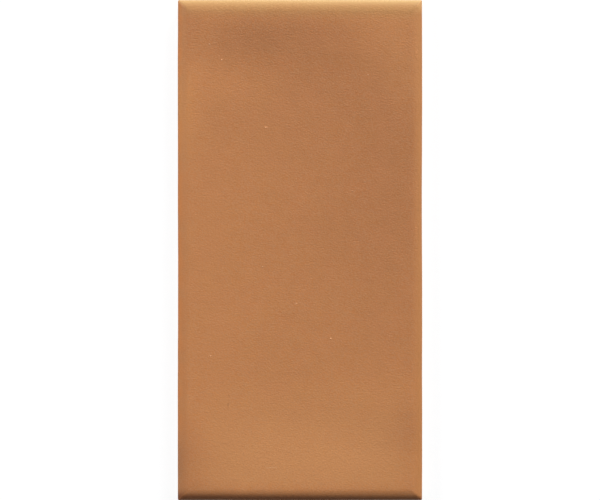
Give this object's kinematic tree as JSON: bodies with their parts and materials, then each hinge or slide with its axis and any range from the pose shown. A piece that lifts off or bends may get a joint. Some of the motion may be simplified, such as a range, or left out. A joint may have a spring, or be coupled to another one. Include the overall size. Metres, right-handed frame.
{
  "type": "ceramic wall tile",
  "caption": "Rectangular ceramic wall tile lying face up, with a flat satin-glazed face, softly rolled edges, near-square corners and a shallow keyed back for adhesive.",
  "frame": {"origin": "middle of the tile's back, on the plane that the ribs of the back stand on", "axes": "+Z out of the glazed face, +Y along the length, +X across the width"},
  "size_m": [0.073, 0.1494, 0.008],
  "materials": {
    "glaze": "satin"
  },
  "bodies": {
    "root": {"tile": "glaze"}
  },
  "joints": []
}
